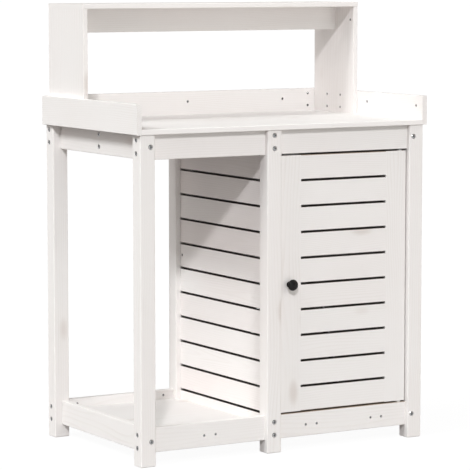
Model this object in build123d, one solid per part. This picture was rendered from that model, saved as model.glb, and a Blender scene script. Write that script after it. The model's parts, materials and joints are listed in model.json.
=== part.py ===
from build123d import *
from math import atan2, cos, sin
import os

# A potting bench of white painted pine, in millimetres, +Z up, front towards -Y.
# Six legs carry a tray-shaped tabletop with a raised shelf at its back. The left bay is open,
# with a floor at the bottom. The right bay is a cabinet with slatted walls and one door.
# The bench is drawn about its own middle plane, then moved as a whole (see write_parts) so
# that the origin lies on the floor, under the middle of the box that holds all of it.

# ---------------------------------------------------------------- driving dimensions
TRAY_WIDTH = 825.0
TRAY_DEPTH = 500.0
TOTAL_HEIGHT = 1095.0
KNOB_PROUD = 9.0  # the knob stands this far in front of the tray

# Legs
LEG_X = 40.0
LEG_Y = 38.0
LEG_TOP = 792.0
LEG_SPREAD_X = 806.0  # over the outer faces of the corner legs
LEG_SPREAD_Y = 494.0
MIDDLE_LEG_X = -32.4  # middle of the two legs between the bays
LEG_ROUND = 2.5
FOOT_CHAMFER = 1.5

# Rails and slats
RAIL_HEIGHT = 60.0
RAIL_THICK = 16.0
RAIL_BOTTOM = 32.0
FRONT_RAIL_SETBACK = 12.0  # from the front of the legs to the front of the rails
REAR_RAIL_INSET = 15.5  # from the rear of the legs to the middle of the rear rails
SIDE_RAIL_X = 375.0  # middle of the side rails, left and right
SLAT_COUNT = 12
SLAT_THICK = 13.0
EDGE_ROUND = 1.5

# Tabletop tray
TOP_THICK = 13.0
TRAY_THICK = 13.0
TRAY_TOP = 865.0

# Raised shelf
SHELF_DEPTH = 190.0
SHELF_THICK = 12.0
SHELF_RAIL_BOTTOM = 1023.0

# Floors and the shelf inside the cabinet
FLOOR_TOP = 68.0
FLOOR_THICK = 16.0
BATTEN_THICK = 13.0
BATTEN_WIDTH = 40.0
SHELF_BATTEN_X = 24.0
SHELF_BATTEN_Z = 22.0
SHELF_BATTEN_MIDDLE_Z = 444.5
INNER_SHELF_THICK = 16.0

# Door
DOOR_SIDE_GAP = 3.0
DOOR_THICK = 16.0
STILE_WIDTH = 60.0
TONGUE_LENGTH = 8.0
TONGUE_THICK = 5.0
GROOVE_CLEARANCE = 0.2
PIVOT_FROM_EDGE = 15.0
PIN_RADIUS = 3.0
PIN_IN_RAIL = 11.0
PIN_IN_DOOR = 12.0
PIN_RUNNING_GAP = 0.05
BUSH_RADIUS = 5.0
BUSH_LENGTH = 14.0
BUSH_FLANGE_RADIUS = 6.5
BUSH_FLANGE = 1.0
WASHER_THICK = 2.5
KNOB_X = 17.0
KNOB_Z = 412.0
KNOB_HEAD_RADIUS = 14.0
KNOB_RIM_BEVEL = 1.5
KNOB_CAP_RADIUS = 12.8
KNOB_FOOT_RADIUS = 7.5
KNOB_FOOT_HEIGHT = 2.0
KNOB_NECK_RADIUS = 5.5
KNOB_NECK_START = 4.5
# Parts of the knob's length at which its neck ends, its rim starts and ends, and its cap starts
KNOB_NECK_END = 0.42
KNOB_RIM_START = 0.58
KNOB_RIM_END = 0.70
KNOB_CAP_START = 0.80
KNOB_SCREW_RADIUS = 2.0
KNOB_SCREW_IN_KNOB = 12.0
KNOB_SCREW_PAN_RADIUS = 4.0
KNOB_SCREW_PAN_HEIGHT = 2.4

# Magnetic catch behind the top of the door
CATCH_X = 32.0
CATCH_WIDTH = 40.0
CATCH_DEPTH = 16.0
CATCH_ABOVE = 26.0  # above the lower edge of the apron that it is screwed to
CATCH_BELOW = 18.0
CATCH_SETBACK = 2.0  # from the back of the door to the face of the magnet
STRIKE_WIDTH = 30.0
STRIKE_HEIGHT = 14.0
STRIKE_THICK = 1.5
CATCH_WALL = 4.0
CATCH_STEP = 1.0  # the housing's upper part starts this far above the apron's lower edge
CATCH_SCREW_LENGTH = 22.0
CATCH_SCREW_OFFSET = 12.0  # each side of the catch's middle
STRIKE_BELOW_DOOR_TOP = 2.0

# Fasteners: (shank radius, head radius, head height, depth of the head below the surface)
FRAME_SCREW = (3.0, 5.4, 3.0, 1.2)
BOARD_SCREW = (1.8, 3.5, 2.0, 0.9)
STRIKE_SCREW = (1.5, 2.6, 0.8, 0.2)
STRIKE_SCREW_LENGTH = 8.0
FRAME_SCREW_LENGTH = 62.0
FRAME_SCREW_BORE_RADIUS = 6.3
FRAME_PAIR_SPACING = 32.0
FRAME_PAIR_OUTWARD = 1.5  # each pair sits this much nearer the leg's end than the rail's middle
RECESS_WIDTH = 0.28  # of the head's radius
RECESS_LENGTH = 1.1  # of the head's radius
RECESS_DEPTH = 0.5  # of the head's height
DOWEL_RADIUS = 4.0
THIN_DOWEL_RADIUS = 3.0
DOWEL_REACH = 14.0
THIN_DOWEL_REACH = 8.0

# Small screws: their lengths under the head, and their places
FLOOR_SCREW_LENGTH = 36.0
CABINET_FLOOR_PAIRS_X = (82.0, 274.0)
BEARER_SCREW_HEIGHTS = (750.0, 780.0)
BLIND_SCREW_LENGTH = 8.0  # in the tray boards and other thin boards, none comes out behind
TRAY_ROW_Z = 838.8
TRAY_BACK_ROW_X = (-288.0, 0.0, 288.0)
TRAY_SIDE_ROW_Y = (-221.0, 1.0)
TRAY_CORNER_X = 367.0
TRAY_PAIR_HEIGHTS = (819.7, 851.7)
SHELF_SCREW_LENGTH = 19.0
SHELF_SCREW_OFFSET_Y = 31.6  # each side of the shelf's mid-depth
SHELF_HIGH_SCREW_Z = 1049.0
SHELF_HIGH_SCREW_INSET = 17.0  # from the front edge of the shelf's side
REAR_RAIL_SCREW_Z = 78.5
REAR_RAIL_SCREW_INSET = 30.0  # from the legs
PARTITION_SCREW_Z = 445.0
PARTITION_SCREW_INSET = 10.0  # from the legs
BATTEN_SCREW_LENGTH = 20.0
SHELF_BATTEN_SCREW_LENGTH = 30.0
SHELF_BATTEN_SCREW_Y = (-120.0, 0.0, 120.0)

# Dowel places
BEARER_DOWEL_HEIGHTS = (750.0, 774.0)
APRON_DOWEL_X = (-280.0, -130.0, 80.0, 280.0)
TRAY_SIDE_DOWEL_Y = (-170.0, 0.0, 170.0)
TRAY_BACK_DOWEL_X = (-200.0, 0.0, 200.0)
SHELF_DOWEL_OFFSET_Y = 60.0  # each side of the shelf's mid-depth

# ---------------------------------------------------------------- derived positions
LEG_OUT_X = LEG_SPREAD_X / 2
LEG_IN_X = LEG_OUT_X - LEG_X
LEG_OUT_Y = LEG_SPREAD_Y / 2
LEG_IN_Y = LEG_OUT_Y - LEG_Y
MIDDLE_LEFT = MIDDLE_LEG_X - LEG_X / 2
MIDDLE_RIGHT = MIDDLE_LEG_X + LEG_X / 2

RAIL_TOP = RAIL_BOTTOM + RAIL_HEIGHT
APRON_BOTTOM = LEG_TOP - RAIL_HEIGHT
FRONT_RAIL = (-LEG_OUT_Y + FRONT_RAIL_SETBACK, -LEG_OUT_Y + FRONT_RAIL_SETBACK + RAIL_THICK)
FRONT_RAIL_MIDDLE = sum(FRONT_RAIL) / 2
REAR_RAIL_MIDDLE = LEG_OUT_Y - REAR_RAIL_INSET
REAR_RAIL = (REAR_RAIL_MIDDLE - RAIL_THICK / 2, REAR_RAIL_MIDDLE + RAIL_THICK / 2)
LEFT_RAIL = (-SIDE_RAIL_X - RAIL_THICK / 2, -SIDE_RAIL_X + RAIL_THICK / 2)
BOTTOM_BAND = (RAIL_BOTTOM, RAIL_TOP)
TOP_BAND = (APRON_BOTTOM, LEG_TOP)
BAY_DEPTH = (-LEG_IN_Y, LEG_IN_Y)
LEFT_BAY = (-LEG_IN_X, MIDDLE_LEFT)
RIGHT_BAY = (MIDDLE_RIGHT, LEG_IN_X)

SLAT_PITCH = (LEG_TOP - RAIL_BOTTOM - RAIL_HEIGHT) / (SLAT_COUNT - 1)
SLAT_BOTTOMS = [RAIL_BOTTOM + SLAT_PITCH * number for number in range(SLAT_COUNT)]
PARTITION = (MIDDLE_LEG_X - SLAT_THICK / 2, MIDDLE_LEG_X + SLAT_THICK / 2)
RIGHT_WALL = (SIDE_RAIL_X - SLAT_THICK / 2, SIDE_RAIL_X + SLAT_THICK / 2)
REAR_WALL = (REAR_RAIL_MIDDLE - SLAT_THICK / 2, REAR_RAIL_MIDDLE + SLAT_THICK / 2)

TRAY_OUT_X = TRAY_WIDTH / 2
TRAY_IN_X = TRAY_OUT_X - TRAY_THICK
TRAY_FRONT = -TRAY_DEPTH / 2
TRAY_REAR = TRAY_DEPTH / 2
TRAY_IN_REAR = TRAY_REAR - TRAY_THICK
TABLE_TOP = LEG_TOP + TOP_THICK
SHELF_IN_X = TRAY_IN_X - SHELF_THICK
SHELF_SPAN_Y = (TRAY_IN_REAR - SHELF_DEPTH, TRAY_IN_REAR)
SHELF_MIDDLE_Y = sum(SHELF_SPAN_Y) / 2
SHELF_UNDERSIDE = TOTAL_HEIGHT - SHELF_THICK
FLOOR_BAND = (FLOOR_TOP - FLOOR_THICK, FLOOR_TOP)

DOOR = (MIDDLE_RIGHT + DOOR_SIDE_GAP, LEG_IN_X - DOOR_SIDE_GAP)
DOOR_Y = (FRONT_RAIL[0], FRONT_RAIL[0] + DOOR_THICK)
DOOR_Z = (SLAT_BOTTOMS[1], SLAT_BOTTOMS[SLAT_COUNT - 2] + RAIL_HEIGHT)
DOOR_MIDDLE_Y = sum(DOOR_Y) / 2
KNOB_STILE = (DOOR[0], DOOR[0] + STILE_WIDTH)
HINGE_STILE = (DOOR[1] - STILE_WIDTH, DOOR[1])
PIVOT_X = DOOR[1] - PIVOT_FROM_EDGE
KNOB_FRONT_Y = TRAY_FRONT - KNOB_PROUD

INTO_X = {-1: Vector(1, 0, 0), 1: Vector(-1, 0, 0)}  # from the left or the right side, inwards
INTO_Y = {-1: Vector(0, 1, 0), 1: Vector(0, -1, 0)}  # from the front or the rear, inwards
OUT_X = {-1: INTO_X[1], 1: INTO_X[-1]}  # towards the left or the right side, outwards


# ---------------------------------------------------------------- shapes
def block(x, y, z):
    """A plain box between the low and high limits given for each axis."""
    limits = (x, y, z)
    middle = [(low + high) / 2 for low, high in limits]
    size = [high - low for low, high in limits]
    return Pos(*middle) * Box(*size)


def board(x, y, z):
    """A planed board: its four long edges are eased."""
    size = [high - low for low, high in (x, y, z)]
    along = (Axis.X, Axis.Y, Axis.Z)[size.index(max(size))]
    plain = block(x, y, z)
    return fillet(plain.edges().filter_by(along), EDGE_ROUND)


def stile(x, joint):
    """A door stile. Its two edges at the joint with the slats stay square, so the joint is flush."""
    plain = block(x, DOOR_Y, DOOR_Z)
    outer = [edge for edge in plain.edges().filter_by(Axis.Z) if abs(edge.center().X - joint) > 1]
    return fillet(outer, EDGE_ROUND)


def leg(middle_x, y):
    """A square leg with rounded corners and a chamfered foot."""
    post = block((middle_x - LEG_X / 2, middle_x + LEG_X / 2), y, (0, LEG_TOP))
    post = fillet(post.edges().filter_by(Axis.Z), LEG_ROUND)
    foot = post.faces().sort_by(Axis.Z)[0]
    return chamfer(foot.edges(), FOOT_CHAMFER)


def rod(start, direction, length, radius):
    """A round bar that starts at a point and runs along a direction."""
    seat = Plane(origin=start, z_dir=direction)
    upright = Pos(0, 0, length / 2) * Cylinder(radius, length)
    return upright.moved(seat.location)


def screw(start, direction, length, kind):
    """A wood screw. Start is on the wood's surface, and length is counted from under the head."""
    shank_radius, head_radius, head_height, sunk = kind
    head = Pos(0, 0, sunk + head_height / 2) * Cylinder(head_radius, head_height)
    shank = Pos(0, 0, sunk + head_height + length / 2) * Cylinder(shank_radius, length)
    slot_length = head_radius * RECESS_LENGTH
    slot_width = head_radius * RECESS_WIDTH
    slot_depth = head_height * RECESS_DEPTH
    slot = Pos(0, 0, sunk + slot_depth / 2) * Box(slot_length, slot_width, slot_depth)
    cross = slot + Rot(0, 0, 90) * slot
    seat = Plane(origin=start, z_dir=direction)
    return (head + shank - cross).moved(seat.location)


def screw_hole(start, direction, length, kind, bore_radius):
    """What a screw takes out of the wood: its shank and the bore that its head sits in."""
    shank_radius, _, head_height, sunk = kind
    bore = rod(start, direction, sunk + head_height, bore_radius)
    shank = rod(start, direction, sunk + head_height + length, shank_radius)
    return bore + shank


def near(one, other):
    """Whether the boxes of two shapes meet."""
    first = one.bounding_box()
    second = other.bounding_box()
    return all(
        low <= high
        for low, high in (
            (first.min.X, second.max.X), (second.min.X, first.max.X),
            (first.min.Y, second.max.Y), (second.min.Y, first.max.Y),
            (first.min.Z, second.max.Z), (second.min.Z, first.max.Z),
        )
    )


# ---------------------------------------------------------------- wooden pieces
def make_legs():
    wood = {}
    rows = {"front": (-LEG_OUT_Y, -LEG_IN_Y), "rear": (LEG_IN_Y, LEG_OUT_Y)}
    columns = {
        "left": -LEG_OUT_X + LEG_X / 2,
        "middle": MIDDLE_LEG_X,
        "right": LEG_OUT_X - LEG_X / 2,
    }
    for row, y in rows.items():
        for column, x in columns.items():
            wood[f"{row}_{column}_leg"] = [leg(x, y)]
    return wood


def make_rails():
    """Aprons under the tabletop, the same rails near the floor, and bearers under the tabletop."""
    wood = {}
    for name, z in (("apron", TOP_BAND), ("bottom_rail", BOTTOM_BAND)):
        wood[f"front_left_{name}"] = [board(LEFT_BAY, FRONT_RAIL, z)]
        wood[f"front_right_{name}"] = [board(RIGHT_BAY, FRONT_RAIL, z)]
        wood[f"rear_left_{name}"] = [board(LEFT_BAY, REAR_RAIL, z)]
        wood[f"left_side_{name}"] = [board(LEFT_RAIL, BAY_DEPTH, z)]
    bearer_y = (-RAIL_THICK / 2, RAIL_THICK / 2)
    wood["left_tabletop_bearer"] = [board((LEFT_RAIL[1], PARTITION[0]), bearer_y, TOP_BAND)]
    wood["right_tabletop_bearer"] = [board((PARTITION[1], RIGHT_WALL[0]), bearer_y, TOP_BAND)]
    return wood


def make_slat_walls():
    """Three walls of the cabinet, each twelve slats held together by two upright battens."""
    wood = {}
    bands = [(bottom, bottom + RAIL_HEIGHT) for bottom in SLAT_BOTTOMS]
    wood["partition_slats"] = [board(PARTITION, BAY_DEPTH, band) for band in bands]
    wood["right_wall_slats"] = [board(RIGHT_WALL, BAY_DEPTH, band) for band in bands]
    wood["rear_wall_slats"] = [board(RIGHT_BAY, REAR_WALL, band) for band in bands]
    height = (FLOOR_TOP, LEG_TOP)
    front_ends = (-LEG_IN_Y, -LEG_IN_Y + BATTEN_WIDTH)
    rear_ends = (LEG_IN_Y - BATTEN_WIDTH, LEG_IN_Y)
    partition_x = (PARTITION[1], PARTITION[1] + BATTEN_THICK)
    right_x = (RIGHT_WALL[0] - BATTEN_THICK, RIGHT_WALL[0])
    rear_y = (REAR_WALL[0] - BATTEN_THICK, REAR_WALL[0])
    left_ends = (RIGHT_BAY[0], RIGHT_BAY[0] + BATTEN_WIDTH)
    right_ends = (RIGHT_BAY[1] - BATTEN_WIDTH, RIGHT_BAY[1])
    wood["partition_battens"] = [board(partition_x, y, height) for y in (front_ends, rear_ends)]
    wood["right_wall_battens"] = [board(right_x, y, height) for y in (front_ends, rear_ends)]
    wood["rear_wall_battens"] = [board(x, rear_y, height) for x in (left_ends, right_ends)]
    return wood


def make_floors():
    """The floor of each bay, notched round the legs, and the shelf in the cabinet."""
    wood = {}
    left = block((LEFT_RAIL[1], PARTITION[0]), (FRONT_RAIL[1], REAR_RAIL[0]), FLOOR_BAND)
    right = block((PARTITION[1], RIGHT_WALL[0]), (FRONT_RAIL[1], REAR_WALL[0]), FLOOR_BAND)
    posts = []
    for x in ((-LEG_OUT_X, -LEG_IN_X), (MIDDLE_LEFT, MIDDLE_RIGHT), (LEG_IN_X, LEG_OUT_X)):
        posts.append(block(x, (-LEG_OUT_Y, -LEG_IN_Y), FLOOR_BAND))
        posts.append(block(x, (LEG_IN_Y, LEG_OUT_Y), FLOOR_BAND))
    wood["left_bay_floor"] = [left - posts]
    wood["cabinet_floor"] = [right - posts]

    batten_z = (
        SHELF_BATTEN_MIDDLE_Z - SHELF_BATTEN_Z / 2,
        SHELF_BATTEN_MIDDLE_Z + SHELF_BATTEN_Z / 2,
    )
    batten_y = (-LEG_IN_Y + BATTEN_WIDTH, LEG_IN_Y - BATTEN_WIDTH)
    left_x = (PARTITION[1], PARTITION[1] + SHELF_BATTEN_X)
    right_x = (RIGHT_WALL[0] - SHELF_BATTEN_X, RIGHT_WALL[0])
    wood["inner_shelf_left_batten"] = [board(left_x, batten_y, batten_z)]
    wood["inner_shelf_right_batten"] = [board(right_x, batten_y, batten_z)]
    shelf_x = (RIGHT_BAY[0], RIGHT_WALL[0] - BATTEN_THICK)
    shelf_y = (-LEG_IN_Y + BATTEN_THICK, REAR_WALL[0] - BATTEN_THICK)
    shelf_z = (batten_z[1], batten_z[1] + INNER_SHELF_THICK)
    wood["cabinet_inner_shelf"] = [board(shelf_x, shelf_y, shelf_z)]
    return wood


def make_tray():
    """The tabletop, the boards round it, and the shelf that stands on it."""
    wood = {}
    tray_z = (LEG_TOP, TRAY_TOP)
    tray_y = (TRAY_FRONT, TRAY_REAR)
    inside_x = (-TRAY_IN_X, TRAY_IN_X)
    wood["tabletop"] = [board(inside_x, (TRAY_FRONT, TRAY_IN_REAR), (LEG_TOP, TABLE_TOP))]
    wood["tray_left_board"] = [board((-TRAY_OUT_X, -TRAY_IN_X), tray_y, tray_z)]
    wood["tray_right_board"] = [board((TRAY_IN_X, TRAY_OUT_X), tray_y, tray_z)]
    wood["tray_back_board"] = [board(inside_x, (TRAY_IN_REAR, TRAY_REAR), tray_z)]

    side_z = (TABLE_TOP, SHELF_UNDERSIDE)
    rail_y = (SHELF_MIDDLE_Y - SHELF_THICK / 2, SHELF_MIDDLE_Y + SHELF_THICK / 2)
    wood["shelf_left_side"] = [board((-TRAY_IN_X, -SHELF_IN_X), SHELF_SPAN_Y, side_z)]
    wood["shelf_right_side"] = [board((SHELF_IN_X, TRAY_IN_X), SHELF_SPAN_Y, side_z)]
    wood["shelf_top"] = [board(inside_x, SHELF_SPAN_Y, (SHELF_UNDERSIDE, TOTAL_HEIGHT))]
    wood["shelf_rail"] = [
        board((-SHELF_IN_X, SHELF_IN_X), rail_y, (SHELF_RAIL_BOTTOM, SHELF_UNDERSIDE))
    ]
    return wood


def make_door():
    """Two grooved stiles with ten tongued slats between them."""
    wood = {}
    groove_y = (
        DOOR_MIDDLE_Y - TONGUE_THICK / 2 - GROOVE_CLEARANCE,
        DOOR_MIDDLE_Y + TONGUE_THICK / 2 + GROOVE_CLEARANCE,
    )
    reach = TONGUE_LENGTH + GROOVE_CLEARANCE
    knob_groove = block((KNOB_STILE[1] - reach, KNOB_STILE[1]), groove_y, DOOR_Z)
    hinge_groove = block((HINGE_STILE[0], HINGE_STILE[0] + reach), groove_y, DOOR_Z)
    wood["door_knob_stile"] = [stile(KNOB_STILE, KNOB_STILE[1]) - knob_groove]
    wood["door_hinge_stile"] = [stile(HINGE_STILE, HINGE_STILE[0]) - hinge_groove]

    tongue_y = (DOOR_MIDDLE_Y - TONGUE_THICK / 2, DOOR_MIDDLE_Y + TONGUE_THICK / 2)
    tongue_x = (KNOB_STILE[1] - TONGUE_LENGTH, HINGE_STILE[0] + TONGUE_LENGTH)
    for number in range(1, SLAT_COUNT - 1):
        band = (SLAT_BOTTOMS[number], SLAT_BOTTOMS[number] + RAIL_HEIGHT)
        face = board((KNOB_STILE[1], HINGE_STILE[0]), DOOR_Y, band)
        wood[f"door_slat_{number:02d}"] = [face + block(tongue_x, tongue_y, band)]
    return wood


# ---------------------------------------------------------------- fasteners
def frame_screw_places():
    """Screws into the ends of the rails, slats and bearers: (start, direction)."""
    places = []
    half = FRAME_PAIR_SPACING / 2
    top_middle = sum(TOP_BAND) / 2 + FRAME_PAIR_OUTWARD
    bottom_middle = sum(BOTTOM_BAND) / 2 - FRAME_PAIR_OUTWARD
    for middle_z in (top_middle, bottom_middle):
        for side in (-1, 1):
            for rail_y in (FRONT_RAIL_MIDDLE, REAR_RAIL_MIDDLE):
                for z in (middle_z - half, middle_z + half):
                    places.append(((side * LEG_OUT_X, rail_y, z), INTO_X[side]))
        for face in (-1, 1):
            for z in (middle_z - half, middle_z + half):
                places.append(((MIDDLE_LEG_X, face * LEG_OUT_Y, z), INTO_Y[face]))
            for side in (-1, 1):
                places.append(((side * SIDE_RAIL_X, face * LEG_OUT_Y, middle_z), INTO_Y[face]))

    # The side walls into the ends of the bearers.
    for side, outer_x in ((-1, LEFT_RAIL[0]), (1, RIGHT_WALL[1])):
        for z in BEARER_SCREW_HEIGHTS:
            places.append(((outer_x, 0, z), INTO_X[side]))
    return places


def board_screw_places():
    """Small screws in rails, boards and walls: (start, direction, length)."""
    places = []
    half = FRAME_PAIR_SPACING / 2

    # Pairs through the bottom rails into the edges of the floors, front and rear.
    floor_z = sum(FLOOR_BAND) / 2
    left_middle = sum(LEFT_BAY) / 2
    for x in (left_middle, *CABINET_FLOOR_PAIRS_X):
        rear_face = REAR_RAIL[1] if x < MIDDLE_LEG_X else REAR_WALL[1]
        for offset in (-half, half):
            places.append(((x + offset, FRONT_RAIL[0], floor_z), INTO_Y[-1], FLOOR_SCREW_LENGTH))
            places.append(((x + offset, rear_face, floor_z), INTO_Y[1], FLOOR_SCREW_LENGTH))

    # Tray boards: short screws at mid-height, and pairs near the back corners.
    for x in TRAY_BACK_ROW_X:
        places.append(((x, TRAY_IN_REAR, TRAY_ROW_Z), INTO_Y[-1], BLIND_SCREW_LENGTH))
    for side in (-1, 1):
        for z in TRAY_PAIR_HEIGHTS:
            start = (side * TRAY_CORNER_X, TRAY_IN_REAR, z)
            places.append((start, INTO_Y[-1], BLIND_SCREW_LENGTH))
        for y in TRAY_SIDE_ROW_Y:
            places.append(((side * TRAY_IN_X, y, TRAY_ROW_Z), OUT_X[side], BLIND_SCREW_LENGTH))

    # The shelf's sides to the tray's sides, and one small screw high on each shelf side.
    high_screw_y = SHELF_SPAN_Y[0] + SHELF_HIGH_SCREW_INSET
    for side in (-1, 1):
        for y in (SHELF_MIDDLE_Y - SHELF_SCREW_OFFSET_Y, SHELF_MIDDLE_Y + SHELF_SCREW_OFFSET_Y):
            for z in TRAY_PAIR_HEIGHTS:
                places.append(((side * SHELF_IN_X, y, z), OUT_X[side], SHELF_SCREW_LENGTH))
        start = (side * SHELF_IN_X, high_screw_y, SHELF_HIGH_SCREW_Z)
        places.append((start, OUT_X[side], BLIND_SCREW_LENGTH))

    # Two in the rear bottom rail of the open bay.
    for x in (LEFT_BAY[0] + REAR_RAIL_SCREW_INSET, LEFT_BAY[1] - REAR_RAIL_SCREW_INSET):
        places.append(((x, REAR_RAIL[0], REAR_RAIL_SCREW_Z), INTO_Y[-1], BLIND_SCREW_LENGTH))

    # One at mid-height into each batten of the partition.
    for side in (-1, 1):
        start = (PARTITION[0], side * (LEG_IN_Y - PARTITION_SCREW_INSET), PARTITION_SCREW_Z)
        places.append((start, INTO_X[-1], BATTEN_SCREW_LENGTH))

    # The magnetic catch to the back of the apron.
    for offset in (-CATCH_SCREW_OFFSET, CATCH_SCREW_OFFSET):
        start = (CATCH_X + offset, FRONT_RAIL[1] + CATCH_DEPTH, APRON_BOTTOM + CATCH_ABOVE / 2)
        places.append((start, INTO_Y[1], CATCH_SCREW_LENGTH))
    return places


def batten_screw_places():
    """Screws through the battens into the ten middle slats, and through the shelf battens."""
    places = []
    left_x = PARTITION[1] + BATTEN_THICK
    right_x = RIGHT_WALL[0] - BATTEN_THICK
    rear_y = REAR_WALL[0] - BATTEN_THICK
    batten_middle = LEG_IN_Y - BATTEN_WIDTH / 2
    for bottom in SLAT_BOTTOMS[1:-1]:
        z = bottom + RAIL_HEIGHT / 2
        for y in (-batten_middle, batten_middle):
            places.append(((left_x, y, z), OUT_X[-1], BATTEN_SCREW_LENGTH))
            places.append(((right_x, y, z), OUT_X[1], BATTEN_SCREW_LENGTH))
        for x in (RIGHT_BAY[0] + BATTEN_WIDTH / 2, RIGHT_BAY[1] - BATTEN_WIDTH / 2):
            places.append(((x, rear_y, z), INTO_Y[-1], BATTEN_SCREW_LENGTH))
    for y in SHELF_BATTEN_SCREW_Y:
        left = (PARTITION[1] + SHELF_BATTEN_X, y, SHELF_BATTEN_MIDDLE_Z)
        right = (RIGHT_WALL[0] - SHELF_BATTEN_X, y, SHELF_BATTEN_MIDDLE_Z)
        places.append((left, OUT_X[-1], SHELF_BATTEN_SCREW_LENGTH))
        places.append((right, OUT_X[1], SHELF_BATTEN_SCREW_LENGTH))
    return places


def dowel_places():
    """Hidden wooden dowels, each (middle, direction, reach on either side, radius)."""
    places = []
    half = FRAME_PAIR_SPACING / 2
    along_x = Vector(1, 0, 0)
    along_y = Vector(0, 1, 0)
    upright = Vector(0, 0, 1)

    # Rails into the middle legs, and the end slats of the rear wall into its middle leg.
    for band in (TOP_BAND, BOTTOM_BAND):
        for z in (sum(band) / 2 - half, sum(band) / 2 + half):
            for x, y, radius in (
                (MIDDLE_LEFT, FRONT_RAIL_MIDDLE, DOWEL_RADIUS),
                (MIDDLE_RIGHT, FRONT_RAIL_MIDDLE, DOWEL_RADIUS),
                (MIDDLE_LEFT, REAR_RAIL_MIDDLE, DOWEL_RADIUS),
                (MIDDLE_RIGHT, REAR_RAIL_MIDDLE, THIN_DOWEL_RADIUS),
            ):
                places.append(((x, y, z), along_x, DOWEL_REACH, radius))

    # The two bearers through the top slat of the partition.
    for z in BEARER_DOWEL_HEIGHTS:
        reach = SLAT_THICK / 2 + DOWEL_REACH
        places.append(((MIDDLE_LEG_X, 0, z), along_x, reach, DOWEL_RADIUS))

    # Front and rear aprons up into the tabletop.
    for x in APRON_DOWEL_X:
        for y in (FRONT_RAIL_MIDDLE, REAR_RAIL_MIDDLE):
            places.append(((x, y, LEG_TOP), upright, THIN_DOWEL_REACH, THIN_DOWEL_RADIUS))

    # Tray boards onto the edges of the tabletop.
    edge_z = LEG_TOP + TOP_THICK / 2
    for side in (-1, 1):
        for y in TRAY_SIDE_DOWEL_Y:
            middle = (side * TRAY_IN_X, y, edge_z)
            places.append((middle, along_x, THIN_DOWEL_REACH, THIN_DOWEL_RADIUS))
    for x in TRAY_BACK_DOWEL_X:
        middle = (x, TRAY_IN_REAR, edge_z)
        places.append((middle, along_y, THIN_DOWEL_REACH, THIN_DOWEL_RADIUS))

    # The shelf's top onto its sides, and its rail between them.
    side_middle = SHELF_IN_X + SHELF_THICK / 2
    rail_middle_z = (SHELF_RAIL_BOTTOM + SHELF_UNDERSIDE) / 2
    for side in (-1, 1):
        for y in (SHELF_MIDDLE_Y - SHELF_DOWEL_OFFSET_Y, SHELF_MIDDLE_Y + SHELF_DOWEL_OFFSET_Y):
            middle = (side * side_middle, y, SHELF_UNDERSIDE)
            places.append((middle, upright, THIN_DOWEL_REACH, THIN_DOWEL_RADIUS))
        for z in (rail_middle_z - half, rail_middle_z + half):
            middle = (side * SHELF_IN_X, SHELF_MIDDLE_Y, z)
            places.append((middle, along_x, THIN_DOWEL_REACH, THIN_DOWEL_RADIUS))
    return places


def make_fasteners():
    """The screws and dowels, and the holes that they need in the wood."""
    hardware = {}
    holes = []

    hardware["frame_screws"] = []
    for start, direction in frame_screw_places():
        hardware["frame_screws"].append(screw(start, direction, FRAME_SCREW_LENGTH, FRAME_SCREW))
        holes.append(
            screw_hole(start, direction, FRAME_SCREW_LENGTH, FRAME_SCREW, FRAME_SCREW_BORE_RADIUS)
        )

    groups = {"board_screws": board_screw_places(), "batten_screws": batten_screw_places()}
    for name, places in groups.items():
        hardware[name] = [screw(*place, BOARD_SCREW) for place in places]
        holes.extend(screw_hole(*place, BOARD_SCREW, BOARD_SCREW[1]) for place in places)

    hardware["wooden_dowels"] = []
    for middle, direction, reach, radius in dowel_places():
        start = Vector(*middle) - direction * reach
        dowel = rod(start, direction, 2 * reach, radius)
        hardware["wooden_dowels"].append(dowel)
        holes.append(dowel)
    return hardware, holes


# ---------------------------------------------------------------- door hardware
def make_pivots():
    """A steel pin fixed in each rail, turning in a flanged bush let into the hinge stile."""
    up = Vector(0, 0, 1)
    down = Vector(0, 0, -1)
    pins = []
    bushes = []
    holes = []
    gap_below = DOOR_Z[0] - RAIL_TOP
    gap_above = APRON_BOTTOM - DOOR_Z[1]
    for rail_z, door_z, gap, direction in (
        (RAIL_TOP, DOOR_Z[0], gap_below, up),
        (APRON_BOTTOM, DOOR_Z[1], gap_above, down),
    ):
        on_rail = Vector(PIVOT_X, DOOR_MIDDLE_Y, rail_z)
        on_door = Vector(PIVOT_X, DOOR_MIDDLE_Y, door_z)
        pin_length = PIN_IN_RAIL + gap + PIN_IN_DOOR
        pin_start = on_rail - direction * PIN_IN_RAIL
        pins.append(rod(pin_start, direction, pin_length, PIN_RADIUS))
        holes.append(rod(pin_start, direction, PIN_IN_RAIL, PIN_RADIUS))
        sleeve = rod(on_door, direction, BUSH_LENGTH, BUSH_RADIUS)
        flange = rod(on_door - direction * BUSH_FLANGE, direction, BUSH_FLANGE, BUSH_FLANGE_RADIUS)
        bore_length = BUSH_FLANGE + PIN_IN_DOOR + PIN_RUNNING_GAP
        bore = rod(
            on_door - direction * BUSH_FLANGE, direction, bore_length, PIN_RADIUS + PIN_RUNNING_GAP
        )
        bushes.append(sleeve + flange - bore)
        holes.append(sleeve)
    washer_start = Vector(PIVOT_X, DOOR_MIDDLE_Y, RAIL_TOP)
    washer = rod(washer_start, up, WASHER_THICK, BUSH_FLANGE_RADIUS)
    washer = washer - rod(washer_start, up, WASHER_THICK, PIN_RADIUS)
    hardware = {
        "door_pivot_pins": pins,
        "door_pivot_bushes": bushes,
        "door_pivot_washer": [washer],
    }
    return hardware, holes


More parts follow.
